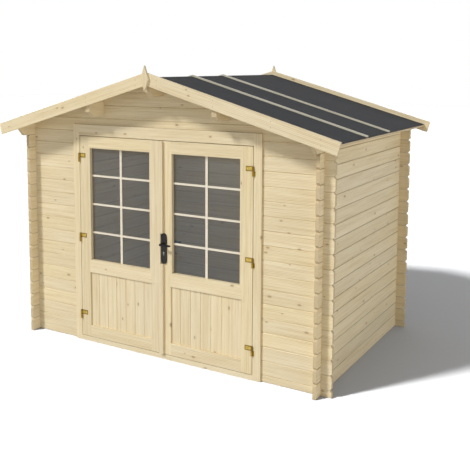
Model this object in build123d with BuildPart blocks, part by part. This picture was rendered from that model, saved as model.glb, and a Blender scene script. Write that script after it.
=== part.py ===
from build123d import *
import math
import os

os.makedirs("parts", exist_ok=True)

# A log-built garden shed with a double glazed door. Millimetres, +Z up.
# The origin is on the ground at the middle of the plan, and the door faces -Y.

# Wall logs
log_thick = 28.0
log_height = 112.5
log_overhang = 85.0
log_groove = 5.0
log_end_cut = 16.0
side_courses = 16
shed_width = 2810.0
shed_depth = 1810.0

# Roof
roof_slope = 16.0
eave_log_rise = 98.5
board_thick = 16.0
felt_thick = 5.0
eave_overhang = 150.0
gable_overhang = 192.0
eave_end_run = 52.0
eave_end_rise = 59.0

# Purlins
purlin_thick = 44.0
purlin_height = 130.0
purlin_offset = 605.0
purlin_end_rise = 36.0

# Barge boards, finials and felt battens
barge_width = 96.0
barge_thick = 20.0
barge_above_felt = 35.0
barge_past_eave = 51.0
finial_width = 72.0
finial_thick = 18.0
finial_above = 54.0
finial_below = 145.0
finial_waist = 50.0
batten_width = 24.0
batten_thick = 12.0
batten_past_front = (460.0, 975.0)

# Door frame
frame_half = 916.0
frame_face = 67.0
frame_proud = 18.0
frame_web = 36.0
frame_lining = 12.0
lining_overlap = 20.0
head_under = 38.25
head_cover = 56.25
stop_depth = 14.0
sill_height = 40.0

# Floor
bearer_width = 45.0
floor_thick = 18.0
floor_above_sill = 12.0

# Door leaves
leaf_gap = 5.0
leaf_thick = 40.0
stile_width = 96.0
meeting_inset = 95.0
top_rail = 86.0
mid_rail = 98.0
bottom_rail = 102.0
panel_top = 624.0
seam_place = -18.0
seam_gap = 8.0
strip_width = 39.0
strip_thick = 20.0
tenon_length = 40.0
tenon_thick = 12.0
tenon_shoulder = 15.0

# Panels and glazing
panel_recess = 13.0
panel_thick = 14.0
panel_tongue = 10.0
panel_boards = 7
panel_groove = 4.0
rebate_lip = 14.0
glass_recess = 30.0
glass_thick = 4.0
bar_width = 22.0
bar_height = 16.0
bar_thick = 5.0
bead_recess = 1.0
panes_across = 2
panes_up = 4

# Hinges
knuckle_radius = 7.5
knuckle_length = 38.0
knuckle_play = 0.5
pin_radius = 4.0
pin_length = 26.0
pin_clearance = 0.3
hinge_plate = 2.5
hinge_leaf_length = 64.0
hinge_jamb_length = 17.0
hinge_heights = (235.0, 926.0, 1627.0)

# Lever handle and lock
lever_height = 976.0
plate_width = 52.0
plate_height = 252.0
plate_thick = 8.0
plate_corner = 25.0
plate_below_lever = 168.0
plate_inset = 19.0
plate_notch_gap = 1.0
neck_radius = 8.0
lever_reach = 60.0
lever_length = 98.0
grip_thick = 10.0
grip_root = 9.0
grip_tip = 7.0
lever_clearance = 0.5
spindle_size = 8.0
spindle_hole = 6.5
lock_below_lever = 76.0
lock_radius = 8.5
lock_tail_width = 10.0
lock_tail_drop = 20.0
lock_clearance = 0.4
lock_proud = 3.0

# Places worked out from the sizes above
front = -shed_depth / 2
rear = shed_depth / 2
half_width = shed_width / 2
inner_x = half_width - log_thick
front_inner = front + log_thick
rear_inner = rear - log_thick
side_top = side_courses * log_height
opening_top = side_top + log_height / 2
tan_slope = math.tan(math.radians(roof_slope))
cos_slope = math.cos(math.radians(roof_slope))
sin_slope = math.sin(math.radians(roof_slope))
ridge_under = side_top + eave_log_rise + half_width * tan_slope
board_top = ridge_under + board_thick / cos_slope
felt_top = board_top + felt_thick / cos_slope
barge_top = felt_top + barge_above_felt / cos_slope
eave_reach = half_width + eave_overhang
barge_reach = eave_reach + barge_past_eave
roof_front = front - gable_overhang
roof_rear = rear + gable_overhang

frame_in = frame_half - frame_face
opening_half = frame_in + frame_web
lining_half = opening_half + lining_overlap
frame_front = front - frame_proud
frame_back = front_inner + frame_lining
head_bottom = opening_top - head_under
head_top = opening_top + head_cover
leaf_front = frame_front
leaf_back = leaf_front + leaf_thick
stop_face = leaf_back + leaf_gap
stop_in = frame_in - stop_depth
floor_top = sill_height + floor_above_sill
bearer_height = floor_top - floor_thick

leaf_half = frame_in - leaf_gap
leaf_bottom = sill_height + leaf_gap
leaf_top = head_bottom - leaf_gap
panel_outer = leaf_half - stile_width
panel_bottom = leaf_bottom + bottom_rail
window_bottom = panel_top + mid_rail
window_top = leaf_top - top_rail
leaf_middle = (leaf_front + leaf_back) / 2
glass_front = leaf_front + glass_recess
glass_back = glass_front + glass_thick
hinge_x = frame_in - leaf_gap / 2
hinge_y = leaf_front - knuckle_radius - pin_clearance
right_edge = seam_place + seam_gap
lock_x = right_edge + plate_inset + plate_width / 2
lock_height = lever_height - lock_below_lever
plate_bottom = lever_height - plate_below_lever
plate_top = plate_bottom + plate_height
strip_front = leaf_front - strip_thick
joint_lines = [(course + 0.5) * log_height for course in range(2 * side_courses)]


# Height of the roof's underside at a distance from the ridge
def roof_under(x):
    return ridge_under - abs(x) * tan_slope


# Upright bar on a rectangular footprint, added to or cut from the open part
def upright(x0, x1, y0, y1, z0, z1, mode=Mode.ADD):
    with BuildSketch(Plane.XY.offset(z0)) as footprint:
        with Locations(((x0 + x1) / 2, (y0 + y1) / 2)):
            Rectangle(abs(x1 - x0), abs(y1 - y0))
    extrude(footprint.sketch, amount=z1 - z0, mode=mode)


# Section of a stack of logs: a V joint between two courses outside, and a flat face inside
def log_section(plane, outer_face, inner_face, bottom, top, joints):
    g = math.copysign(log_groove, inner_face - outer_face)
    seams = []
    for z in joints:
        seams += [(outer_face, z - log_groove), (outer_face + g, z), (outer_face, z + log_groove)]
    outline = [(outer_face + g, bottom), (outer_face, bottom + log_groove)] + seams
    outline += [(outer_face, top - log_groove), (outer_face + g, top)]
    outline += [(inner_face, top), (inner_face, bottom)]
    with BuildSketch(plane) as section:
        with BuildLine():
            Polyline(*outline, close=True)
        make_face()
    return section.sketch


# Wall of logs that runs along X, with its outer and inner faces at the given Y
def wall_along_x(outer_face, inner_face, x0, x1, bottom, top, joints):
    section = log_section(Plane.YZ.offset(x0), outer_face, inner_face, bottom, top, joints)
    extrude(section, amount=x1 - x0)


# Wall of logs that runs along Y, with its outer and inner faces at the given X
def wall_along_y(outer_face, inner_face, y0, y1, bottom, top, joints):
    section = log_section(Plane.XZ.offset(-y1), outer_face, inner_face, bottom, top, joints)
    extrude(section, amount=y1 - y0)


# Corner laps: each log keeps the middle half of its height where two walls cross
def cut_laps(x, y, lines):
    with BuildSketch(Plane.XZ.offset(-y - log_thick)) as laps:
        with Locations(*[(x + log_thick / 2, z) for z in lines]):
            Rectangle(log_thick, log_height / 2)
    extrude(laps.sketch, amount=log_thick, mode=Mode.SUBTRACT)


# Chamfered corners of the log ends, cut as V notches through the wall
def cut_ends(plane, end, inward, lines):
    with BuildSketch(plane) as notches:
        for z in lines:
            tip = (end + inward * log_end_cut, z)
            with BuildLine():
                Polyline((end, z - log_end_cut), tip, (end, z + log_end_cut), close=True)
            make_face()
    extrude(notches.sketch, amount=log_thick, mode=Mode.SUBTRACT)


# Flat layer that follows one roof slope from the ridge to the eave, between two places along it
def roof_layer(side, top, thick, reach, y0, y1):
    low = top - reach * tan_slope
    with BuildSketch(Plane.XZ.offset(-y1)) as layer:
        with BuildLine():
            Polyline(
                (0, top),
                (side * reach, low),
                (side * (reach - thick * sin_slope), low - thick * cos_slope),
                (0, top - thick / cos_slope),
                close=True,
            )
        make_face()
    extrude(layer.sketch, amount=y1 - y0)


# Lower corner cut off both ends of a beam that carries the roof overhang
def cut_beam_ends(x0, x1, bottom, run, rise):
    with BuildSketch(Plane.YZ.offset(x0)) as corners:
        for end, inward in ((roof_front, 1), (roof_rear, -1)):
            with BuildLine():
                Polyline((end, bottom), (end + inward * run, bottom), (end, bottom + rise), close=True)
            make_face()
    extrude(corners.sketch, amount=x1 - x0, mode=Mode.SUBTRACT)


def save(part, name):
    part.label = name
    export_step(part, "parts/" + name + ".step")


# Side walls: whole courses from the ground up
side_joints = [course * log_height for course in range(1, side_courses)]
side_laps = [course * log_height for course in range(side_courses + 1)]
log_front = front - log_overhang
log_rear = rear + log_overhang
for name, side in (("left_wall", -1), ("right_wall", 1)):
    low_face = min(side * half_width, side * inner_x)
    with BuildPart() as wall:
        wall_along_y(side * half_width, side * inner_x, log_front, log_rear, 0, side_top, side_joints)
        cut_laps(low_face, front, side_laps)
        cut_laps(low_face, rear_inner, side_laps)
        cut_ends(Plane.YZ.offset(low_face), log_front, 1, side_joints + [side_top])
        cut_ends(Plane.YZ.offset(low_face), log_rear, -1, side_joints + [side_top])
    save(wall.part, name)

# Eave logs: they close the side walls and run on under the roof overhang
for name, side in (("left_eave_log", -1), ("right_eave_log", 1)):
    low_face, high_face = sorted((side * half_width, side * inner_x))
    with BuildPart() as eave_log:
        with BuildSketch(Plane.XZ.offset(-roof_rear)):
            with BuildLine():
                Polyline(
                    (side * (half_width - log_groove), side_top),
                    (side * half_width, side_top + log_groove),
                    (side * half_width, roof_under(half_width)),
                    (side * inner_x, roof_under(inner_x)),
                    (side * inner_x, side_top),
                    close=True,
                )
            make_face()
        extrude(amount=roof_rear - roof_front)
        cut_laps(low_face, front, [side_top])
        cut_laps(low_face, rear_inner, [side_top])
        cut_beam_ends(low_face, high_face, side_top, eave_end_run, eave_end_rise)
    save(eave_log.part, name)

# Front wall beside the doorway: it starts with a half log
log_end = half_width + log_overhang
front_joints = [z for z in joint_lines if z < opening_top - log_groove]
front_laps = front_joints + [opening_top]
for name, side in (("front_wall_left", -1), ("front_wall_right", 1)):
    x0, x1 = sorted((side * log_end, side * opening_half))
    with BuildPart() as wall:
        wall_along_x(front, front_inner, x0, x1, 0, opening_top, front_joints)
        cut_laps(min(side * half_width, side * inner_x), front, front_laps)
        cut_ends(Plane.XZ.offset(-front_inner), side * log_end, -side, front_laps)
    save(wall.part, name)

# Rear wall: whole width, lapped at both corners
with BuildPart() as rear_wall:
    wall_along_x(rear, rear_inner, -log_end, log_end, 0, opening_top, front_joints)
    for side in (-1, 1):
        cut_laps(min(side * half_width, side * inner_x), rear_inner, front_laps)
        cut_ends(Plane.XZ.offset(-rear), side * log_end, -side, front_laps)
save(rear_wall.part, "rear_wall")

# Gables: the logs above the doorway's height, cut to the slope and let in for the purlins
gable_joints = [z for z in joint_lines if opening_top + log_groove < z < ridge_under - log_groove]
purlin_bottoms = {0.0: ridge_under - purlin_height}
for x in (-purlin_offset, purlin_offset):
    purlin_bottoms[x] = roof_under(x) - purlin_height
gable_blank_top = ridge_under + log_height
gables = (("front_gable", front, front_inner), ("rear_gable", rear, rear_inner))
for name, outer_face, inner_face in gables:
    with BuildPart() as gable:
        wall_along_x(outer_face, inner_face, -inner_x, inner_x, opening_top, gable_blank_top, gable_joints)
        with BuildSketch(Plane.XZ.offset(-max(outer_face, inner_face))):
            with BuildLine():
                Polyline(
                    (-inner_x, opening_top),
                    (inner_x, opening_top),
                    (inner_x, roof_under(inner_x)),
                    (0, ridge_under),
                    (-inner_x, roof_under(inner_x)),
                    close=True,
                )
            make_face()
            for x, bottom in purlin_bottoms.items():
                with Locations((x, bottom + purlin_height)):
                    Rectangle(purlin_thick, 2 * purlin_height, mode=Mode.SUBTRACT)
        extrude(amount=log_thick, mode=Mode.INTERSECT)
    save(gable.part, name)

# Purlins: level beams through both gables, with their tops planed to the slope
for name, places in (("ridge_purlin", (0.0,)), ("side_purlins", (-purlin_offset, purlin_offset))):
    with BuildPart() as purlin:
        for x in places:
            x0 = x - purlin_thick / 2
            x1 = x + purlin_thick / 2
            bottom = purlin_bottoms[x]
            with BuildSketch(Plane.XZ.offset(-roof_rear)):
                with BuildLine():
                    Polyline(
                        (x0, bottom),
                        (x0, roof_under(x0)),
                        (x, roof_under(x)),
                        (x1, roof_under(x1)),
                        (x1, bottom),
                        close=True,
                    )
                make_face()
            extrude(amount=roof_rear - roof_front)
            cut_beam_ends(x0, x1, bottom, eave_end_run, purlin_end_rise)
    save(purlin.part, name)

# Roof boards, felt and the battens that hold the felt
for word, side in (("left", -1), ("right", 1)):
    with BuildPart() as boards:
        roof_layer(side, board_top, board_thick, eave_reach, roof_front, roof_rear)
    save(boards.part, word + "_roof_boards")
    with BuildPart() as felt:
        roof_layer(side, felt_top, felt_thick, eave_reach, roof_front, roof_rear)
    save(felt.part, word + "_roof_felt")
    with BuildPart() as battens:
        batten_top = felt_top + batten_thick / cos_slope
        for place in batten_past_front:
            y = front + place
            roof_layer(side, batten_top, batten_thick, eave_reach, y, y + batten_width)
    save(battens.part, word + "_roof_battens")

# Barge boards over both gable ends: mitred at the ridge, ends square to the slope
for word, side in (("left", -1), ("right", 1)):
    with BuildPart() as barges:
        for y in (roof_front - barge_thick, roof_rear):
            roof_layer(side, barge_top, barge_width, barge_reach, y, y + barge_thick)
    save(barges.part, word + "_barge_boards")

# Finials: pointed planks over the mitres, at the front and the rear
with BuildPart() as finials:
    for y in (roof_front - barge_thick - finial_thick, roof_rear + barge_thick):
        with BuildSketch(Plane.XZ.offset(-y - finial_thick)):
            with BuildLine():
                Polyline(
                    (0, barge_top + finial_above),
                    (finial_width / 2, barge_top - finial_waist),
                    (0, barge_top - finial_below),
                    (-finial_width / 2, barge_top - finial_waist),
                    close=True,
                )
            make_face()
        extrude(amount=finial_thick)
save(finials.part, "finials")

# Door jambs: a channel over the log ends, with a face board and a stop for the leaf
for name, side in (("left_jamb", -1), ("right_jamb", 1)):
    with BuildPart() as jamb:
        with BuildSketch(Plane.XY):
            with BuildLine():
                Polyline(
                    (side * frame_in, frame_front),
                    (side * frame_half, frame_front),
                    (side * frame_half, front),
                    (side * opening_half, front),
                    (side * opening_half, front_inner),
                    (side * lining_half, front_inner),
                    (side * lining_half, frame_back),
                    (side * stop_in, frame_back),
                    (side * stop_in, stop_face),
                    (side * frame_in, stop_face),
                    close=True,
                )
            make_face()
        extrude(amount=head_top)
        web = (side * stop_in, side * opening_half)
        upright(*web, front, front_inner, opening_top, head_top, Mode.SUBTRACT)
    save(jamb.part, name)

# Door head between the jambs, wrapped round the log above
with BuildPart() as head:
    with BuildSketch(Plane.YZ.offset(-frame_in)):
        with BuildLine():
            Polyline(
                (frame_front, head_bottom),
                (stop_face, head_bottom),
                (stop_face, head_bottom - stop_depth),
                (frame_back, head_bottom - stop_depth),
                (frame_back, head_top),
                (front_inner, head_top),
                (front_inner, opening_top),
                (front, opening_top),
                (front, head_top),
                (frame_front, head_top),
                close=True,
            )
        make_face()
    extrude(amount=2 * frame_in)
    for side in (-1, 1):
        stop_ends = (side * stop_in, side * frame_in, stop_face, frame_back)
        upright(*stop_ends, head_bottom - stop_depth, head_top, Mode.SUBTRACT)
save(head.part, "door_head")

# Threshold between the jambs, with a raised stop behind the leaves
with BuildPart() as threshold:
    with BuildSketch(Plane.YZ.offset(-frame_in)):
        with BuildLine():
            Polyline(
                (frame_front, 0),
                (frame_back, 0),
                (frame_back, floor_top),
                (stop_face, floor_top),
                (stop_face, sill_height),
                (frame_front, sill_height),
                close=True,
            )
        make_face()
    extrude(amount=2 * frame_in)
    for side in (-1, 1):
        stop_ends = (side * stop_in, side * frame_in, stop_face, frame_back)
        upright(*stop_ends, 0, floor_top, Mode.SUBTRACT)
save(threshold.part, "threshold")

# Floor: bearers along the side walls, behind the jambs and between them, and boards over them
bearer_half = bearer_width / 2
with BuildPart() as bearers:
    for side in (-1, 1):
        for place in (inner_x - bearer_half, frame_in, frame_in / 3):
            x = side * place
            upright(x - bearer_half, x + bearer_half, frame_back, rear_inner, 0, bearer_height)
save(bearers.part, "floor_bearers")
with BuildPart() as floor:
    upright(-inner_x, inner_x, front_inner, rear_inner, bearer_height, floor_top)
    upright(-lining_half, lining_half, front, frame_back, bearer_height, floor_top, Mode.SUBTRACT)
save(floor.part, "floor_boards")

# Leaf timber: two stiles with mortises and a groove, three rails with tenons, and a lip before the glass
tenon_y0 = leaf_middle - tenon_thick / 2
tenon_y1 = leaf_middle + tenon_thick / 2
panel_front = leaf_front + panel_recess
panel_back = panel_front + panel_thick
rails = ((leaf_bottom, panel_bottom), (panel_top, window_bottom), (window_top, leaf_top))
tongue_bottom = panel_bottom - panel_tongue
tongue_top = panel_top + panel_tongue
for word, side, meeting_edge in (("left", -1, seam_place), ("right", 1, right_edge)):
    outer = side * panel_outer
    inner = side * meeting_inset
    lip_out = outer - side * rebate_lip
    lip_in = inner + side * rebate_lip
    with BuildPart() as stiles:
        upright(side * leaf_half, outer, leaf_front, leaf_back, leaf_bottom, leaf_top)
        upright(meeting_edge, inner, leaf_front, leaf_back, leaf_bottom, leaf_top)
        upright(outer, lip_out, leaf_front, glass_front, window_bottom, window_top)
        upright(inner, lip_in, leaf_front, glass_front, window_bottom, window_top)
        tongue_out = outer + side * panel_tongue
        tongue_in = inner - side * panel_tongue
        tenon = (outer + side * tenon_length, inner - side * tenon_length, tenon_y0, tenon_y1)
        panel_block = (tongue_out, tongue_in, panel_front, panel_back, tongue_bottom, tongue_top)
        upright(*panel_block, Mode.SUBTRACT)
        for low, high in rails:
            upright(*tenon, low + tenon_shoulder, high - tenon_shoulder, Mode.SUBTRACT)
        if side > 0:
            with BuildSketch(Plane.XZ.offset(-leaf_back)):
                with Locations((lock_x, lever_height)):
                    Circle(spindle_hole)
            extrude(amount=leaf_thick, mode=Mode.SUBTRACT)
            mortise_half = lock_radius + lock_clearance
            mortise_low = lock_height - lock_tail_drop - lock_clearance
            mortise_high = lock_height + mortise_half
            mortise = (lock_x - mortise_half, lock_x + mortise_half, leaf_front, leaf_back)
            upright(*mortise, mortise_low, mortise_high, Mode.SUBTRACT)
    save(stiles.part, word + "_leaf_stiles")
    with BuildPart() as leaf_rails:
        for low, high in rails:
            upright(outer, inner, leaf_front, leaf_back, low, high)
            upright(*tenon, low + tenon_shoulder, high - tenon_shoulder)
        upright(lip_out, lip_in, leaf_front, glass_front, window_bottom, window_bottom + rebate_lip)
        upright(lip_out, lip_in, leaf_front, glass_front, window_top - rebate_lip, window_top)
        upright(outer, inner, panel_front, panel_back, tongue_bottom, tongue_top, Mode.SUBTRACT)
    save(leaf_rails.part, word + "_leaf_rails")

    # Boarded lower panel, seated in the groove all round
    board_edge = min(tongue_out, tongue_in)
    board_width = abs(tongue_out - tongue_in) / panel_boards
    with BuildPart() as panel:
        upright(*panel_block)
        with BuildSketch(Plane.XY.offset(tongue_bottom)):
            for number in range(1, panel_boards):
                x = board_edge + number * board_width
                left_lip = (x - panel_groove, panel_front)
                right_lip = (x + panel_groove, panel_front)
                with BuildLine():
                    Polyline(left_lip, (x, panel_front + panel_groove), right_lip, close=True)
                make_face()
        extrude(amount=tongue_top - tongue_bottom, mode=Mode.SUBTRACT)
    save(panel.part, word + "_leaf_panel")

    # Glass in the rebate behind the lip, with bars before it, and bars and a bead behind it
    window_width = abs(outer - inner)
    window_height = window_top - window_bottom
    sight_width = window_width - 2 * rebate_lip
    sight_height = window_height - 2 * rebate_lip
    pane_width = (sight_width - (panes_across - 1) * bar_width) / panes_across
    pane_height = (sight_height - (panes_up - 1) * bar_height) / panes_up
    pane_grid = (pane_width + bar_width, pane_height + bar_height, panes_across, panes_up)
    window_centre = ((outer + inner) / 2, (window_bottom + window_top) / 2)
    with BuildPart() as glass:
        upright(outer, inner, glass_front, glass_back, window_bottom, window_top)
    save(glass.part, word + "_leaf_glass")
    with BuildPart() as grille:
        with BuildSketch(Plane.XZ.offset(-glass_front)):
            with Locations(window_centre):
                Rectangle(sight_width, sight_height)
                with GridLocations(*pane_grid):
                    Rectangle(pane_width, pane_height, mode=Mode.SUBTRACT)
        extrude(amount=bar_thick)
        with BuildSketch(Plane.XZ.offset(-leaf_back + bead_recess)):
            with Locations(window_centre):
                Rectangle(window_width, window_height)
                with GridLocations(*pane_grid):
                    Rectangle(pane_width, pane_height, mode=Mode.SUBTRACT)
        extrude(amount=leaf_back - bead_recess - glass_back)
    save(grille.part, word + "_leaf_glazing_bars")

# Cover strip on the right leaf, along its meeting edge and notched round the lock plate
notch_left = lock_x - plate_width / 2 - plate_notch_gap
notch_low = plate_bottom - plate_notch_gap
notch_high = plate_top + plate_notch_gap
with BuildPart() as strip:
    upright(right_edge, right_edge + strip_width, strip_front, leaf_front, leaf_bottom, leaf_top)
    notch_right = notch_left + plate_width
    upright(notch_left, notch_right, strip_front, leaf_front, notch_low, notch_high, Mode.SUBTRACT)
save(strip.part, "cover_strip")

# Hinges: an upper knuckle on the leaf turns on a pin in the lower knuckle on the jamb
for word, side in (("left", -1), ("right", 1)):
    x = side * hinge_x
    with BuildPart() as leaf_hinges:
        for z in hinge_heights:
            low = z + knuckle_play / 2
            with BuildSketch(Plane.XY.offset(low)):
                with Locations((x, hinge_y)):
                    Circle(knuckle_radius)
            extrude(amount=knuckle_length)
            plate = (x, x - side * hinge_leaf_length, leaf_front - hinge_plate, leaf_front)
            upright(*plate, low, low + knuckle_length)
            with BuildSketch(Plane.XY.offset(low)):
                with Locations((x, hinge_y)):
                    Circle(pin_radius + pin_clearance)
            extrude(amount=pin_length + pin_clearance, mode=Mode.SUBTRACT)
    save(leaf_hinges.part, word + "_leaf_hinges")
    with BuildPart() as jamb_hinges:
        for z in hinge_heights:
            low = z - knuckle_play / 2 - knuckle_length
            with BuildSketch(Plane.XY.offset(low)):
                with Locations((x, hinge_y)):
                    Circle(knuckle_radius)
            extrude(amount=knuckle_length)
            plate_ends = (x + side * leaf_gap / 2, x + side * hinge_jamb_length)
            upright(*plate_ends, frame_front - hinge_plate, frame_front, low, low + knuckle_length)
            with BuildSketch(Plane.XY.offset(low)):
                with Locations((x, hinge_y)):
                    Circle(pin_radius)
            extrude(amount=knuckle_length + knuckle_play / 2 + pin_length)
    save(jamb_hinges.part, word + "_jamb_hinges")

# Lock plates outside and inside, with holes for the lever and the lock cylinder
plate_centre = (lock_x, plate_bottom + plate_height / 2)
tail_centre = (lock_x, lock_height - lock_tail_drop / 2)
with BuildPart() as plates:
    for y in (leaf_front, leaf_back + plate_thick):
        with BuildSketch(Plane.XZ.offset(-y)):
            with Locations(plate_centre):
                RectangleRounded(plate_width, plate_height, plate_corner)
            with Locations((lock_x, lever_height)):
                Circle(neck_radius + lever_clearance, mode=Mode.SUBTRACT)
            with Locations((lock_x, lock_height)):
                Circle(lock_radius + lock_clearance, mode=Mode.SUBTRACT)
            with Locations(tail_centre):
                hole_size = (lock_tail_width + 2 * lock_clearance, lock_tail_drop + 2 * lock_clearance)
                Rectangle(*hole_size, mode=Mode.SUBTRACT)
        extrude(amount=plate_thick)
save(plates.part, "lock_plates")

# Lock cylinder through the stile
cylinder_back = leaf_back + plate_thick + lock_proud
cylinder_front = leaf_front - plate_thick - lock_proud
with BuildPart() as cylinder:
    with BuildSketch(Plane.XZ.offset(-cylinder_back)):
        with Locations((lock_x, lock_height)):
            Circle(lock_radius)
        with Locations(tail_centre):
            Rectangle(lock_tail_width, lock_tail_drop)
    extrude(amount=cylinder_back - cylinder_front)
save(cylinder.part, "lock_cylinder")


# Lever: a round neck that stands out of the plate, and a flat grip that tapers to a round tip
def lever_handle(start, way):
    neck_end = start + way * (lever_reach + grip_thick / 2)
    with BuildSketch(Plane.XZ.offset(-start)) as neck:
        with Locations((lock_x, lever_height)):
            Circle(neck_radius)
    extrude(neck.sketch, amount=-way * (lever_reach - grip_thick / 2))
    with BuildSketch(Plane.XZ.offset(-neck_end)) as grip:
        with Locations((lock_x, lever_height)):
            Circle(grip_root)
        with Locations((lock_x + lever_length - grip_tip, lever_height)):
            Circle(grip_tip)
        make_hull()
    extrude(grip.sketch, amount=way * grip_thick)


# Outer lever with its square spindle, and the inner lever on the spindle's end
outer_start = leaf_front - lever_clearance
inner_start = leaf_back + lever_clearance
with BuildPart() as outer_lever:
    lever_handle(outer_start, -1)
    with BuildSketch(Plane.XZ.offset(-outer_start)):
        with Locations((lock_x, lever_height)):
            Rectangle(spindle_size, spindle_size)
    extrude(amount=outer_start - inner_start)
save(outer_lever.part, "outer_lever")
with BuildPart() as inner_lever:
    lever_handle(inner_start, 1)
save(inner_lever.part, "inner_lever")
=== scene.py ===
"""The look of the garden shed: materials, fine pieces, light and camera. Lengths are in metres."""
import bpy
import bmesh
import math
from mathutils import Matrix, Vector


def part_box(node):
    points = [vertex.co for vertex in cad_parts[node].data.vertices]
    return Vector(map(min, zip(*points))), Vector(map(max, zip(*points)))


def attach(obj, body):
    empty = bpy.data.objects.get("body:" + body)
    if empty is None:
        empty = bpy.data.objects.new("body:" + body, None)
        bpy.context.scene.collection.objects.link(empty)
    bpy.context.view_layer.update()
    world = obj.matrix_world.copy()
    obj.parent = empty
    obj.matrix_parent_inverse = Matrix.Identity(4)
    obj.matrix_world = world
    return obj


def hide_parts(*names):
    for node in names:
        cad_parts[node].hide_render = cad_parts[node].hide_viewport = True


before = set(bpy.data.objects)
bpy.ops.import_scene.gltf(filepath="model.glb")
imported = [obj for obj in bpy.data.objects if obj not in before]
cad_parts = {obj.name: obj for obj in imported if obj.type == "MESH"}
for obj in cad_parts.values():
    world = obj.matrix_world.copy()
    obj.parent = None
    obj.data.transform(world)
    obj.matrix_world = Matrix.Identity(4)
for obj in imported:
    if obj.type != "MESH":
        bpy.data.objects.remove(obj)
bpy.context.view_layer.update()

SIDES = (("left", -1), ("right", 1))
WHITE = (1, 1, 1, 1)

# sizes of the CAD part that the looks follow
SLOPE = math.radians(16)  # pitch of the roof
LOG = 0.1125  # height of a course
FRONT = -0.923  # face of the leaves and jambs, on which the hinge plates lie
PLATE_THICK = 0.0025  # a hinge plate
HINGE_X = 0.8465  # the pins, from the middle of the doorway
HINGE_HEIGHTS = (0.235, 0.926, 1.627)  # where the leaf's half of a hinge rests on the jamb's
LEAF_PLATE = (0.032, 0.019)  # half the width and half the height of a leaf's hinge plate
LEAF_PLATE_RISE = 0.01925  # the plate's middle above the hinge's height
PANEL_SIDES = (0.085, 0.758)  # near and far side of a leaf's lower panel
PANEL_BOARDS = 7
BEARER_STEP = 0.566  # from one floor bearer to the next
BATTEN_LINES = (-0.433, 0.082)  # the battens' places along Y
(_, roof_y0, _), (roof_reach, roof_y1, _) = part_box("right_roof_boards")
(floor_x0, floor_y0, floor_z0), (floor_x1, floor_y1, floor_z1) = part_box("floor_boards")

# rows of boards
ROOF_BOARDS, FLOOR_PLANKS = 24, 20
DECK = (roof_y1 - roof_y0) / ROOF_BOARDS
PLANK = (floor_y1 - floor_y0) / FLOOR_PLANKS
PANEL_BOARD = (PANEL_SIDES[1] - PANEL_SIDES[0]) / PANEL_BOARDS


# node trees

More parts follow.
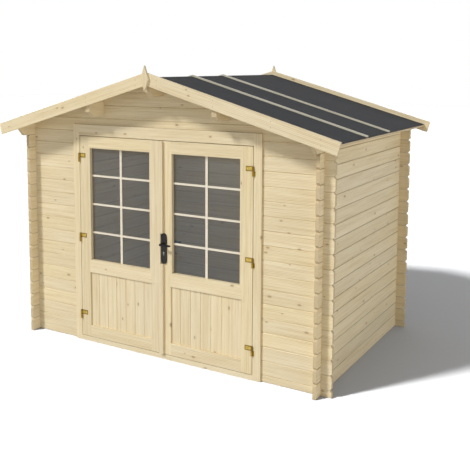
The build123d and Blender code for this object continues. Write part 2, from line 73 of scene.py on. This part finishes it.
class Tree:
    """The node tree of a material or a world, built by short calls."""

    def __init__(self, owner):
        owner.use_nodes = True
        self.owner = owner
        self.tree = owner.node_tree
        self.tree.nodes.clear()

    def add(self, kind, inputs=None, **settings):
        """A new node, with values or links at its inputs."""
        node = self.tree.nodes.new(kind)
        for key, value in settings.items():
            setattr(node, key, value)
        for key, value in (inputs or {}).items():
            self.put(node.inputs[key], value)
        return node

    def put(self, socket, value):
        if isinstance(value, bpy.types.NodeSocket):
            self.tree.links.new(value, socket)
        else:
            socket.default_value = value

    def math(self, operation, a, b=0.0):
        return self.add("ShaderNodeMath", {0: a, 1: b}, operation=operation).outputs[0]

    def times(self, *factors):
        """The product of its factors."""
        made = factors[0]
        for factor in factors[1:]:
            made = self.math("MULTIPLY", made, factor)
        return made

    def blend(self, *shares):
        """The sum of values, each given with its weight."""
        made = None
        for value, weight in shares:
            part = self.times(value, weight)
            made = part if made is None else self.math("ADD", made, part)
        return made

    def ramp(self, value, stops):
        """A colour for a value, from pairs of place and colour."""
        node = self.add("ShaderNodeValToRGB", {0: value})
        ramp = node.color_ramp
        while len(ramp.elements) < len(stops):
            ramp.elements.new(0.5)
        for element, (place, colour) in zip(ramp.elements, stops):
            element.position = place
            element.color = colour
        return node.outputs[0]

    def span(self, value, low, high, to_low=0.0, to_high=1.0, smooth=True):
        """A value brought from one range to another, and held at its ends."""
        node = self.add("ShaderNodeMapRange", {0: value, 1: low, 2: high, 3: to_low, 4: to_high})
        node.interpolation_type = "SMOOTHSTEP" if smooth else "LINEAR"
        return node.outputs[0]

    def mix(self, share, a, b, blend="MIX"):
        """Two colours mixed."""
        node = self.add("ShaderNodeMix", data_type="RGBA", blend_type=blend, clamp_result=False)
        self.put(node.inputs[0], share)
        self.put(node.inputs[6], a)
        self.put(node.inputs[7], b)
        return node.outputs[2]

    def vector(self, x, y, z):
        return self.add("ShaderNodeCombineXYZ", {0: x, 1: y, 2: z}).outputs[0]

    def axes(self, vector):
        return self.add("ShaderNodeSeparateXYZ", {0: vector}).outputs

    def stretch(self, x, y, z, scale):
        """Three coordinates with a scale each."""
        parts = [self.times(value, factor) for value, factor in zip((x, y, z), scale)]
        return self.vector(*parts)

    def turned(self, vector, angle):
        """A vector turned about the Y axis."""
        node = self.add("ShaderNodeVectorRotate", {0: vector, 3: angle}, rotation_type="Y_AXIS")
        return node.outputs[0]

    def noise(self, where, scale=1.0, detail=2.0, rough=0.5, bend=0.0):
        node = self.add("ShaderNodeTexNoise", {"Vector": where, "Scale": scale, "Detail": detail,
                                               "Roughness": rough, "Distortion": bend})
        return node.outputs[0]

    def bump(self, height, strength, distance):
        """A normal for fine relief."""
        inputs = {"Strength": strength, "Distance": distance, "Height": height}
        return self.add("ShaderNodeBump", inputs).outputs[0]

    def place(self, kind="Object"):
        return self.add("ShaderNodeTexCoord").outputs[kind]

    def seen(self):
        """1 for rays by which the picture shows a surface, also by gloss or through glass, else 0."""
        rays = self.add("ShaderNodeLightPath").outputs
        passed = self.math("MAXIMUM", rays["Is Glossy Ray"], rays["Is Transmission Ray"])
        return self.math("MAXIMUM", rays["Is Camera Ray"], passed)

    def finish(self, **inputs):
        """Ends a material with its surface, and returns the material."""
        shader = self.add("ShaderNodeBsdfPrincipled")
        for key, value in inputs.items():
            self.put(shader.inputs[key.replace("_", " ")], value)
        self.add("ShaderNodeOutputMaterial", {0: shader.outputs[0]})
        return self.owner


def fresh(name):
    """The empty tree of a new material."""
    return Tree(bpy.data.materials.new(name))


def rgb(red, green, blue):
    """A written colour in 0 to 255 as linear light."""
    made = []
    for part in (red, green, blue):
        part /= 255
        made.append(part / 12.92 if part < 0.04045 else ((part + 0.055) / 1.055) ** 2.4)
    return (*made, 1)


# materials

# pale, middle and dark parts of the wood
SPRUCE = (rgb(238, 225, 192), rgb(228, 211, 173), rgb(203, 180, 135))
WHITISH = (rgb(244, 238, 224), rgb(239, 231, 214), rgb(222, 208, 184))
GREYED = (rgb(210, 207, 192), rgb(200, 196, 180), rgb(180, 174, 155))


def knot_marks(t, along, side, knots):
    """Halo, core and rim of oval knots, about one to each square decimetre or two."""
    cell = t.stretch(along, side, 0.0, (3.6, 7.5, 0.0))
    cells = t.add("ShaderNodeTexVoronoi", {"Vector": cell, "Scale": 1.0},
                  voronoi_dimensions="2D").outputs
    away = cells["Distance"]
    lucky = t.add("ShaderNodeSeparateColor", {0: cells["Color"]}).outputs[0]
    has = t.math("GREATER_THAN", lucky, knots)
    size = t.span(lucky, knots, 1.0, 0.024, 0.056, smooth=False)
    halo = t.times(has, t.span(away, size, t.times(size, 3.6), 1.0, 0.0))
    core = t.times(has, t.span(away, t.times(size, 0.55), size, 1.0, 0.0))
    ring = t.math("ABSOLUTE", t.math("SUBTRACT", away, size))
    rim = t.times(has, t.span(ring, 0.0, t.times(size, 0.35), 1.0, 0.0))
    return halo, core, rim


def grain_lines(t, along, side, deep, halo):
    """Late wood, fibres and darkness along a board, bent by slow noise and by the knots."""
    slow = t.noise(t.stretch(along, side, deep, (0.7, 5.0, 5.0)))
    bent = t.blend((slow, 5.0), (halo, 0.5))
    line = t.math("FRACT", t.blend((side, 95.0), (deep, 95.0), (bent, 1.0)))
    late = t.times(t.span(line, 0.35, 0.95), t.span(line, 0.95, 1.0, 1.0, 0.0))
    fibre = t.noise(t.stretch(along, side, deep, (12.0, 400.0, 400.0)), rough=0.6)
    streak = t.noise(t.stretch(along, side, deep, (1.9, 75.0, 75.0)), detail=3.0, rough=0.6, bend=0.1)
    broad = t.noise(t.stretch(along, side, deep, (1.1, 14.0, 14.0)), detail=3.0, rough=0.55)
    dark = t.blend((late, 0.14), (streak, 0.46), (broad, 0.23), (fibre, 0.17))
    return late, fibre, dark


def wood(name, grain, face, split, seed, knots=0.6, seam=0.0, tilt=0.0, tone=1.0, tint=SPRUCE,
         ledge_shade=0.0):
    """Pale planed spruce.

    grain is the axis of the fibres, and face the axis across a board's wide side.
    split is the axis, width and start of the rows of boards, and seed sets their woods.
    The higher knots is, from 0 to 1, the fewer knots there are.
    seam and ledge are how strongly painted shade shows in the seams and on faces that look up.
    tilt turns the axes about Y, tone sets the lightness and tint the three colours.
    """
    t = fresh(name)
    place, normal = t.place(), t.place("Normal")
    if tilt:
        place, normal = t.turned(place, tilt), t.turned(normal, tilt)
    axis = dict(zip("XYZ", t.axes(place)))
    through = [a for a in "XYZ" if a not in (grain, face)][0]

    # each board takes its fibres from another part of the pattern
    split_axis, pitch, start = split
    units = t.math("DIVIDE", t.math("SUBTRACT", axis[split_axis], start), pitch)
    index = t.math("ADD", t.math("FLOOR", units), seed)
    lot = t.add("ShaderNodeTexWhiteNoise", {"W": index}, noise_dimensions="1D").outputs["Color"]
    shade, hue, slide = t.add("ShaderNodeSeparateColor", {0: lot}).outputs
    along = t.math("ADD", axis[grain], t.times(slide, 37.0))
    side = t.math("ADD", axis[face], t.times(shade, 11.0))
    deep = t.math("ADD", axis[through], t.times(hue, 17.0))
    halo, core, rim = knot_marks(t, along, side, knots)
    late, fibre, dark = grain_lines(t, along, side, deep, halo)
    body = t.ramp(dark, list(zip((0.33, 0.5, 0.69), tint)))

    # its own lightness and a slight cast
    light = t.span(shade, 0.0, 1.0, 0.95 * tone, 1.04 * tone, smooth=False)
    cast = t.mix(hue, (1.0, 0.98, 0.93, 1), (0.99, 0.985, 1.0, 1))
    body = t.mix(1.0, body, cast, "MULTIPLY")
    body = t.mix(1.0, body, t.vector(light, light, light), "MULTIPLY")
    body = t.mix(t.times(halo, 0.2), body, rgb(206, 178, 132))
    body = t.mix(t.times(core, 0.75), body, rgb(166, 138, 98))
    body = t.mix(t.times(rim, 0.5), body, rgb(118, 94, 62))

    # sawn ends and their chamfers show arcs of growth rings
    lengthwise = t.axes(normal)["XYZ".index(grain)]
    end = t.span(t.math("ABSOLUTE", lengthwise), 0.45, 0.6)
    pith = t.vector(0.0, t.math("ADD", side, t.times(shade, 0.3)), deep)
    arcs = t.add("ShaderNodeTexWave", {"Vector": pith, "Scale": 60.0, "Distortion": 3.0,
                                       "Detail": 2.0, "Detail Scale": 1.5},
                 wave_type="RINGS", rings_direction="X").outputs["Fac"]
    cut = t.ramp(arcs, [(0.1, rgb(212, 192, 154)), (0.9, rgb(184, 160, 120))])
    body = t.mix(t.times(end, 0.85), body, cut)

    # painted shade on faces that look up, and a little painted shade in the seam between two boards
    if ledge_shade:
        # painted shade: faces that look up are darkened
        up = t.axes(normal)[2]
        body = t.mix(t.span(up, 0.5, 0.9, 0.0, ledge_shade), body, rgb(92, 74, 46))
    if seam:
        # painted shade: the seams between boards are darkened, half as much on sawn ends
        share = t.math("FRACT", units)
        gap = t.times(t.math("MINIMUM", share, t.math("SUBTRACT", 1.0, share)), pitch)
        seam_shade = t.times(t.span(gap, 0.0012, 0.0045, seam, 0.0), t.span(end, 0.0, 1.0, 1.0, 0.5))
        body = t.mix(seam_shade, body, rgb(84, 64, 38))
    relief = t.bump(t.blend((fibre, 0.5), (late, 0.5)), 0.2, 0.0006)
    rough = t.span(dark, 0.2, 0.9, 0.52, 0.7, smooth=False)
    return t.finish(Base_Color=body, Roughness=rough, Normal=relief, Specular_IOR_Level=0.3)


def felt(name):
    """Mineral roofing felt: fine granules, with faint bands along the roll."""
    t = fresh(name)
    place = t.place()
    grit = t.noise(place, 900.0, rough=0.7)
    granules = t.add("ShaderNodeTexVoronoi", {"Vector": place, "Scale": 620.0}).outputs[0]
    cloud = t.noise(place, 3.5, 4.0, 0.6)
    band = t.noise(t.stretch(*t.axes(place), (18.0, 0.8, 18.0)), detail=3.0)
    level = t.blend((grit, 0.5), (cloud, 0.3), (band, 0.2))
    stops = [(0.25, rgb(36, 37, 39)), (0.5, rgb(43, 44, 46)), (0.78, rgb(54, 55, 57))]
    relief = t.bump(t.blend((grit, 0.5), (granules, 0.5)), 0.5, 0.0008)
    return t.finish(Base_Color=t.ramp(level, stops), Roughness=0.9, Normal=relief,
                    Specular_IOR_Level=0.2)


def metal(name, worn, base, bright, rough, shine, cloudy, gloss=0.5, plates=None):
    """A metal with light wear, small scratches and a slightly uneven finish.

    worn, base and bright are its colours, and cloudy is how fine their clouds are.
    plates gives the middle and half width along X, the half height and the heights of
    plates whose borders have tarnished.
    """
    t = fresh(name)
    x, y, z = t.axes(t.place())
    cloud = t.noise(t.place(), cloudy, 4.0, 0.6, 0.4)
    scratches = t.noise(t.stretch(x, y, z, (1.0, 1.0, 0.08)), 2400.0, rough=0.6)
    colour = t.ramp(cloud, [(0.25, worn), (0.52, base), (0.8, bright)])
    if plates:
        middle, half_width, half_height, heights = plates
        aside = t.math("ABSOLUTE", t.math("SUBTRACT", t.math("ABSOLUTE", x), middle))
        above = 1.0
        for height in heights:
            above = t.math("MINIMUM", above, t.math("ABSOLUTE", t.math("SUBTRACT", z, height)))
        inside = t.math("MINIMUM", t.math("SUBTRACT", half_width, aside),
                        t.math("SUBTRACT", half_height, above))
        colour = t.mix(t.span(inside, 0.003, 0.010, 0.9, 0.0), colour, worn)
    coarse = t.span(cloud, 0.0, 1.0, rough - 0.09, rough + 0.09, smooth=False)
    return t.finish(Base_Color=colour, Metallic=shine, Roughness=coarse,
                    Normal=t.bump(scratches, 0.08, 0.0003), Specular_IOR_Level=gloss)


def glass(name):
    """Clear window glass with a thin grey film and a trace of ripple."""
    t = fresh(name)
    ripple = t.noise(t.place(), 9.0)
    film = t.noise(t.place(), 5.0, 3.0, 0.6)
    colour = t.ramp(film, [(0.3, rgb(100, 113, 122)), (0.7, rgb(108, 121, 130))])
    return t.finish(Base_Color=colour, Roughness=0.06, IOR=1.45, Alpha=0.26,
                    Normal=t.bump(ripple, 0.05, 0.001), Specular_IOR_Level=0.35)


# how a node is parted into boards: axis, width and start
COURSES = ("Z", LOG, 0.0)
HALF_COURSES = ("Z", LOG, LOG / 2)
UPRIGHTS = ("X", 0.8, -0.4)
RAILS = ("Z", 0.6, 0.3)
ENDS = ("Y", 1.0, 0.5)

side_wood = wood("wood_side_logs", "Y", "Z", COURSES, 3, seam=0.4)
front_wood = wood("wood_front_logs", "X", "Z", HALF_COURSES, 41, knots=0.5, seam=0.12)
rear_wood = wood("wood_rear_logs", "X", "Z", HALF_COURSES, 83, seam=0.3)
gable_wood = wood("wood_gable_logs", "X", "Z", HALF_COURSES, 127, seam=0.2)
purlin_wood = wood("wood_purlins", "Y", "Z", ("X", 0.6, 0.3), 151, tone=0.98)
jamb_wood = wood("wood_jambs", "Z", "X", UPRIGHTS, 313, knots=0.75)
finial_wood = wood("wood_finials", "Z", "X", ENDS, 319, knots=0.8)
head_wood = wood("wood_door_head", "X", "Z", RAILS, 343, knots=0.7, ledge_shade=0.75)
threshold_wood = wood("wood_threshold", "X", "Z", RAILS, 347, knots=0.7)
floor_wood = wood("wood_floor", "X", "Y", ("Y", PLANK, floor_y0), 351, seam=0.5, tone=0.98)
bearer_wood = wood("wood_bearers", "Y", "Z", ("X", BEARER_STEP, 0.0), 377, tone=0.92)
strip_wood = wood("wood_cover_strip", "Z", "X", UPRIGHTS, 411, knots=0.85, tone=1.01)
bar_wood = wood("wood_glazing_bars", "X", "Z", ("Y", 2.0, 0.0), 431, knots=0.95, tint=WHITISH)
roof_felt = felt("mineral_felt")
window_glass = glass("window_glass")
brass = metal("aged_brass", rgb(104, 84, 30), rgb(170, 144, 66), rgb(204, 182, 108),
              rough=0.38, shine=1.0, cloudy=90.0)
leaf_brass = metal("leaf_hinge_brass", rgb(112, 86, 22), rgb(188, 162, 84), rgb(216, 194, 122),
                   rough=0.38, shine=1.0, cloudy=90.0,
                   plates=(HINGE_X - LEAF_PLATE[0], *LEAF_PLATE,
                           [z + LEAF_PLATE_RISE for z in HINGE_HEIGHTS]))
jamb_brass = metal("jamb_hinge_brass", rgb(112, 86, 22), rgb(150, 122, 48), rgb(190, 164, 88),
                   rough=0.4, shine=1.0, cloudy=90.0)
black = metal("black_metal", rgb(17, 17, 16), rgb(25, 25, 24), rgb(42, 41, 39),
              rough=0.5, shine=0.0, cloudy=70.0, gloss=0.3)
lever_black = metal("lever_black", rgb(6, 6, 6), rgb(10, 10, 9), rgb(18, 18, 17),
                    rough=0.45, shine=0.0, cloudy=70.0, gloss=0.2)
bright_metal = metal("bright_metal", rgb(95, 95, 93), rgb(128, 128, 125), rgb(156, 156, 152),
                     rough=0.34, shine=1.0, cloudy=120.0)
zinc = metal("zinc_nails", rgb(132, 127, 116), rgb(160, 155, 142), rgb(186, 180, 166),
             rough=0.5, shine=0.8, cloudy=200.0)

FINISH = {
    "front_wall_left": front_wood, "front_wall_right": front_wood, "rear_wall": rear_wood,
    "front_gable": gable_wood, "rear_gable": gable_wood, "finials": finial_wood,
    "ridge_purlin": purlin_wood, "side_purlins": purlin_wood,
    "door_head": head_wood, "threshold": threshold_wood, "cover_strip": strip_wood,
    "floor_bearers": bearer_wood, "floor_boards": floor_wood,
    "lock_plates": black, "lock_cylinder": bright_metal,
    "outer_lever": lever_black, "inner_lever": lever_black,
}

# seeds of the stiles, rails, panel and roof of each side
SIDE_SEEDS = {"left": (301, 331, 391, 500), "right": (307, 337, 401, 560)}


def side_finish(word, side):
    """The finish of the nodes that the shed has on its left and on its right."""
    stile_seed, rail_seed, panel_seed, roof_seed = SIDE_SEEDS[word]
    panel_start = min(side * x for x in PANEL_SIDES)
    down_slope = {"grain": "X", "tilt": -side * SLOPE}
    return {
        "_wall": side_wood, "_eave_log": side_wood, "_jamb": jamb_wood, "_jamb_hinges": jamb_brass,
        "_leaf_hinges": leaf_brass, "_leaf_glass": window_glass, "_leaf_glazing_bars": bar_wood,
        "_leaf_stiles": wood("wood_%s_stiles" % word, "Z", "X", UPRIGHTS, stile_seed, knots=0.75),
        "_leaf_rails": wood("wood_%s_rails" % word, "X", "Z", RAILS, rail_seed, knots=0.7),
        "_leaf_panel": wood("wood_%s_panel" % word, "Z", "X", ("X", PANEL_BOARD, panel_start),
                            panel_seed, knots=0.5),
        "_roof_felt": roof_felt,
        "_barge_boards": wood("wood_%s_barge" % word, face="Z", split=ENDS, seed=roof_seed,
                              knots=0.45, tone=0.98, **down_slope),
        "_roof_boards": wood("wood_%s_deck" % word, face="Y", split=("Y", DECK, roof_y0),
                             seed=roof_seed + 20, seam=0.4, tone=0.97, **down_slope),
        "_roof_battens": wood("wood_%s_battens" % word, face="Y", split=ENDS, seed=roof_seed + 50,
                              knots=0.95, tint=GREYED, **down_slope),
    }


for word, side in SIDES:
    FINISH.update({word + rest: material for rest, material in side_finish(word, side).items()})
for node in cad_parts:
    thing = bpy.data.objects[node]
    thing.data.materials.clear()
    thing.data.materials.append(FINISH[node])


# boards of the roof and the floor

def piece(name, bm, material, body, replaces=()):
    """Makes an object of a finished bmesh, and gives it its body and slot."""
    bmesh.ops.recalc_face_normals(bm, faces=bm.faces)
    mesh = bpy.data.meshes.new(name)
    bm.to_mesh(mesh)
    bm.free()
    mesh.materials.append(material)
    thing = bpy.data.objects.new(name, mesh)
    bpy.context.collection.objects.link(thing)
    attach(thing, body)
    if replaces:
        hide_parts(*replaces)


def pairs(ring):
    """Each point of a closed ring with the next one."""
    return zip(ring, ring[1:] + ring[:1])


def bar(bm, near, far):
    """Adds a closed bar between two matching rings of points."""
    first = [bm.verts.new(p) for p in near]
    last = [bm.verts.new(p) for p in far]
    bm.faces.new(first)
    bm.faces.new(list(reversed(last)))
    for (a, b), (c, d) in zip(pairs(first), pairs(last)):
        bm.faces.new((a, c, d, b))


def row(start, width, count, slit):
    """Both sides of each board in a row, with a slit on either side."""
    for i in range(count):
        yield start + i * width + slit, start + (i + 1) * width - slit


def roof_deck(word, side):
    """Tongued boards laid along the slope, with a V joint below each seam."""
    node = word + "_roof_boards"
    thick, notch, slit = 0.016, 0.0045, 0.0002
    low = thick - notch
    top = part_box(node)[1][2]
    eave_top = top - roof_reach * math.tan(SLOPE)
    bm = bmesh.new()
    for a, b in row(roof_y0, DECK, ROOF_BOARDS, slit):
        section = [(a, 0), (b, 0), (b, low), (b - notch, thick), (a + notch, thick), (a, low)]
        ridge = [(0.0, y, top - h / math.cos(SLOPE)) for y, h in section]
        eave = [(side * (roof_reach - h * math.sin(SLOPE)), y, eave_top - h * math.cos(SLOPE))
                for y, h in section]
        bar(bm, ridge, eave)
    piece(word + "_roof_planks", bm, FINISH[node], "shed", (node,))


def floor_deck():
    """Floor boards with a narrow chamfered seam between them."""
    thick, notch, slit = floor_z1 - floor_z0, 0.0015, 0.0003
    bm = bmesh.new()
    for a, b in row(floor_y0, PLANK, FLOOR_PLANKS, slit):
        section = [(a, thick), (b, thick), (b, notch), (b - notch, 0), (a + notch, 0), (a, notch)]
        left = [(floor_x0, y, floor_z1 - h) for y, h in section]
        right = [(floor_x1, y, floor_z1 - h) for y, h in section]
        bar(bm, left, right)
    piece("floor_planks", bm, floor_wood, "shed", ("floor_boards",))


for word, side in SIDES:
    roof_deck(word, side)
floor_deck()


# screws, key plugs and nails

# radius and rise of each kind of head
LEAF_SCREW = (0.0042, 0.0007)
JAMB_SCREW = (0.0034, 0.0006)
LOCK_SCREW = (0.0045, 0.0009)
KEY_PLUG = (0.0062, 0.0008)
HEAD_SIDES = 20
CROSS_DEPTH = 0.0012
KEYHOLE = (0.0014, 0.0075)  # width and height
KEYHOLE_DEPTH = 0.0016

# radius of a nail's head, and its height as a share of that
NAIL, FLOOR_NAIL = 0.0032, 0.0028
NAIL_DOME = 0.35

# places of the heads
LEAF_SCREWS = ((0.020, 0.010), (0.038, 0.028), (0.056, 0.010))  # inward of the pin, and up
JAMB_SCREW_OUT = 0.0125  # outward of the pin
JAMB_SCREW_DROPS = (0.010, 0.029)
LOCK_SCREW_INSET = 0.016  # from the ends of the lock plate
KEY_DROP = 0.0085  # the plug's middle below the cylinder's top
BATTEN_NAILS = [0.08 + 0.23 * k for k in range(7)]  # from the ridge
BARGE_NAILS = (0.10, 0.605, 1.08, 1.46)
BARGE_NAIL_DROPS = (0.030, 0.072)
NAILED_BEARERS = (-1.5, -0.5, 0.5, 1.5)  # the four inner bearers, in steps from the middle


def cross(arm, half):
    """Outline of a cross recess."""
    quarter = [(half, half), (half, arm), (-half, arm)]
    turned = []
    for k in range(4):
        c, s = math.cos(k * math.pi / 2), math.sin(k * math.pi / 2)
        turned += [(x * c - y * s, x * s + y * c) for x, y in quarter]
    return turned


def slot_shape(width, height):
    """Outline of a keyhole."""
    x, y = width / 2, height / 2
    return [(x, y), (-x, y), (-x, -y), (x, -y)]


def facing(out):
    """The turn that brings Z to the given direction."""
    return Vector(out).to_track_quat("Z", "Y").to_matrix().to_4x4()


def wall(bm, low, high):
    """Adds the faces between two matching rings of vertices."""
    for (a, b), (c, d) in zip(pairs(low), pairs(high)):
        bm.faces.new((a, b, d, c))


def recessed_head(bm, place, out, radius, rise, recess, depth):
    """A round head that stands out of a face, with a recess of the given outline sunk into it."""
    where = Matrix.Translation(place) @ facing(out)
    rings = []
    for share, height in ((1.0, -rise), (1.0, 0.3 * rise), (0.86, rise)):
        ring = []
        for k in range(HEAD_SIDES):
            angle = 2 * math.pi * k / HEAD_SIDES
            spot = (share * radius * math.cos(angle), share * radius * math.sin(angle), height)
            ring.append(bm.verts.new(where @ Vector(spot)))
        rings.append(ring)
    foot, shoulder, rim = rings
    wall(bm, foot, shoulder)
    wall(bm, shoulder, rim)
    bm.faces.new(list(reversed(foot)))
    top = [bm.verts.new(where @ Vector((x, y, rise))) for x, y in recess]
    floor = [bm.verts.new(where @ Vector((x, y, rise - depth))) for x, y in recess]
    wall(bm, top, floor)
    bm.faces.new(floor)
    edges = []
    for ring in (rim, top):
        for pair in pairs(ring):
            edges.append(bm.edges.get(pair) or bm.edges.new(pair))
    bmesh.ops.triangle_fill(bm, edges=edges, use_beauty=True)


def heads(name, places, out, head, material, body, recess=None, depth=CROSS_DEPTH):
    """Screw heads at several places on one face, as one piece."""
    radius, rise = head
    recess = recess or cross(0.55 * radius, 0.14 * radius)
    bm = bmesh.new()
    for place in places:
        recessed_head(bm, place, out, radius, rise, recess, depth)
    piece(name, bm, material, body)


def nails(name, places, out, radius):
    """Small domed nail heads, as one piece."""
    bm = bmesh.new()
    for place in places:
        where = Matrix.Translation(place) @ facing(out) @ Matrix.Diagonal((1, 1, NAIL_DOME, 1))
        bmesh.ops.create_icosphere(bm, subdivisions=2, radius=radius, matrix=where)
    piece(name, bm, zinc, "shed")


# screws on the hinges: three on each leaf plate and two on each jamb plate
plate_face = FRONT - PLATE_THICK
for word, side in SIDES:
    on_leaf = [(side * (HINGE_X - inward), plate_face, z + up)
               for z in HINGE_HEIGHTS for inward, up in LEAF_SCREWS]
    on_jamb = [(side * (HINGE_X + JAMB_SCREW_OUT), plate_face, z - down)
               for z in HINGE_HEIGHTS for down in JAMB_SCREW_DROPS]
    heads(word + "_leaf_hinge_screws", on_leaf, (0, -1, 0), LEAF_SCREW, brass, word + "_leaf")
    heads(word + "_jamb_hinge_screws", on_jamb, (0, -1, 0), JAMB_SCREW, brass, "shed")

# screws of the lock plates, and the key plugs with their keyholes
(plate_x0, plate_y0, plate_z0), (plate_x1, plate_y1, plate_z1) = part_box("lock_plates")
(_, cylinder_y0, _), (_, cylinder_y1, cylinder_z1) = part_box("lock_cylinder")
lock_x = (plate_x0 + plate_x1) / 2
screw_heights = (plate_z0 + LOCK_SCREW_INSET, plate_z1 - LOCK_SCREW_INSET)
for word, y, out in (("outer", plate_y0, -1), ("inner", plate_y1, 1)):
    spots = [(lock_x, y, z) for z in screw_heights]
    heads(word + "_plate_screws", spots, (0, out, 0), LOCK_SCREW, black, "right_leaf")
for word, y, out in (("outer", cylinder_y0, -1), ("inner", cylinder_y1, 1)):
    spots = [(lock_x, y, cylinder_z1 - KEY_DROP)]
    heads(word + "_key_plug", spots, (0, out, 0), KEY_PLUG, bright_metal, "right_leaf",
          slot_shape(*KEYHOLE), KEYHOLE_DEPTH)

# nails that hold the battens, barge boards and floor
for word, side in SIDES:
    batten_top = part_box(word + "_roof_battens")[1][2]
    slope_out = (side * math.sin(SLOPE), 0.0, math.cos(SLOPE))
    spots = [(side * x, y, batten_top - x * math.tan(SLOPE))
             for y in BATTEN_LINES for x in BATTEN_NAILS]
    nails(word + "_batten_nails", spots, slope_out, NAIL)
    (_, barge_y0, _), (_, barge_y1, barge_top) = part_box(word + "_barge_boards")
    for end, y, out in (("front", barge_y0, -1), ("rear", barge_y1, 1)):
        spots = [(side * x, y, barge_top - x * math.tan(SLOPE) - drop)
                 for x in BARGE_NAILS for drop in BARGE_NAIL_DROPS]
        nails(word + "_" + end + "_barge_nails", spots, (0, out, 0), NAIL)
spots = [(steps * BEARER_STEP, floor_y0 + (i + 0.5) * PLANK, floor_z1)
         for steps in NAILED_BEARERS for i in range(FLOOR_PLANKS)]
nails("floor_nails", spots, (0, 0, 1), FLOOR_NAIL)


# light

WORLD_LIGHT = 0.12
KEY_HEADING, KEY_HEIGHT = math.radians(55.5), math.radians(44)  # from +X, and above the horizon
ROOM_LIGHT_SIZE = (1.6, 1.0)
ROOM_LIGHT_PLACE = (0.0, 0.2, 1.95)
ROOM_LIGHT_POWER = 4.0

scene = bpy.context.scene
scene.view_settings.view_transform = "Standard"


def sun(name, toward, power, width):
    """A sun that shines toward a direction, with a disc of the given width in degrees."""
    lamp = bpy.data.lights.new(name, "SUN")
    lamp.energy = power
    lamp.angle = math.radians(width)
    thing = bpy.data.objects.new(name, lamp)
    thing.rotation_euler = Vector(toward).to_track_quat("-Z", "Y").to_euler()
    bpy.context.collection.objects.link(thing)
    return thing


key_flat = math.cos(KEY_HEIGHT)
key_toward = (math.cos(KEY_HEADING) * key_flat, math.sin(KEY_HEADING) * key_flat,
              -math.sin(KEY_HEIGHT))
sun("key_light", key_toward, power=2.5, width=9)
sun("side_fill", (-1.0, 0.15, 0.0), power=1.1, width=60)
sun("front_fill", (0.1, 1.0, 0.0), power=0.66, width=60)
sun("rear_fill", (0.1, -1.0, 0.0), power=0.8, width=60)

# these two shine only on the floor, so that it is white with the photo's depth of shadow
floor_light = sun("floor_light", key_toward, power=10.5, width=6)
floor_sky = sun("floor_sky", (0.0, 0.0, -1.0), power=2.6, width=130)

# soft light under the roof, so that the room shows through the windows and the open doors
room = bpy.data.lights.new("room_light", "AREA")
room.shape = "RECTANGLE"
room.size, room.size_y = ROOM_LIGHT_SIZE
room.energy = ROOM_LIGHT_POWER
room_light = bpy.data.objects.new("room_light", room)
room_light.location = ROOM_LIGHT_PLACE
room_light.visible_camera = False
room_light.visible_glossy = False
bpy.context.collection.objects.link(room_light)

# the world gives little light, and looks white
world = bpy.data.worlds.new("studio")
scene.world = world
sky = Tree(world)
lit = sky.add("ShaderNodeBackground", {0: WHITE, 1: WORLD_LIGHT})
white = sky.add("ShaderNodeBackground", {0: WHITE, 1: 1.0})
choose = sky.add("ShaderNodeMixShader", {0: sky.seen(), 1: lit.outputs[0], 2: white.outputs[0]})
sky.add("ShaderNodeOutputWorld", {0: choose.outputs[0]})


# floor

FLOOR_HALF, FLOOR_Z = 40.0, -0.001
FLOOR_SEEN = (0.30, 0.303, 0.31, 1)
FLOOR_BOUNCE = (0.12, 0.12, 0.12, 1)  # what it casts back on the shed

floor_mesh = bpy.data.meshes.new("studio_floor")
corners = ((-1, -1), (1, -1), (1, 1), (-1, 1))
floor_mesh.from_pydata([(x * FLOOR_HALF, y * FLOOR_HALF, FLOOR_Z) for x, y in corners], [],
                       [(0, 1, 2, 3)])
studio_floor = bpy.data.objects.new("studio_floor", floor_mesh)
bpy.context.collection.objects.link(studio_floor)
paint = fresh("studio_floor")
colour = paint.mix(paint.seen(), FLOOR_BOUNCE, FLOOR_SEEN)
floor_mesh.materials.append(paint.finish(Base_Color=colour, Roughness=0.95, Specular_IOR_Level=0.0))
studio_floor.visible_shadow = False
only_floor = bpy.data.collections.new("only_floor")
only_floor.objects.link(studio_floor)
for lamp in (floor_light, floor_sky):
    lamp.light_linking.receiver_collection = only_floor


# camera

PICTURE = 470  # side of the photo in pixels
FOCAL = 754.24  # in the same pixels
SENSOR = 36.0  # in millimetres, like the lens
CAMERA_SHIFT = (0.0735, -0.18)
CAMERA_PLACE = (3.4454, -5.8829, 2.4065)
CAMERA_DOWN, CAMERA_TURN = 6.3507, 31.711  # degrees below level, and from +Y to the left
CAMERA_FAR = 200.0

camera = bpy.data.cameras.new("camera")
camera.sensor_width = SENSOR
camera.lens = FOCAL / PICTURE * SENSOR
camera.shift_x, camera.shift_y = CAMERA_SHIFT
camera.clip_end = CAMERA_FAR
eye = bpy.data.objects.new("camera", camera)
eye.location = CAMERA_PLACE
eye.rotation_euler = (math.radians(90 - CAMERA_DOWN), 0.0, math.radians(CAMERA_TURN))
bpy.context.collection.objects.link(eye)
scene.camera = eye
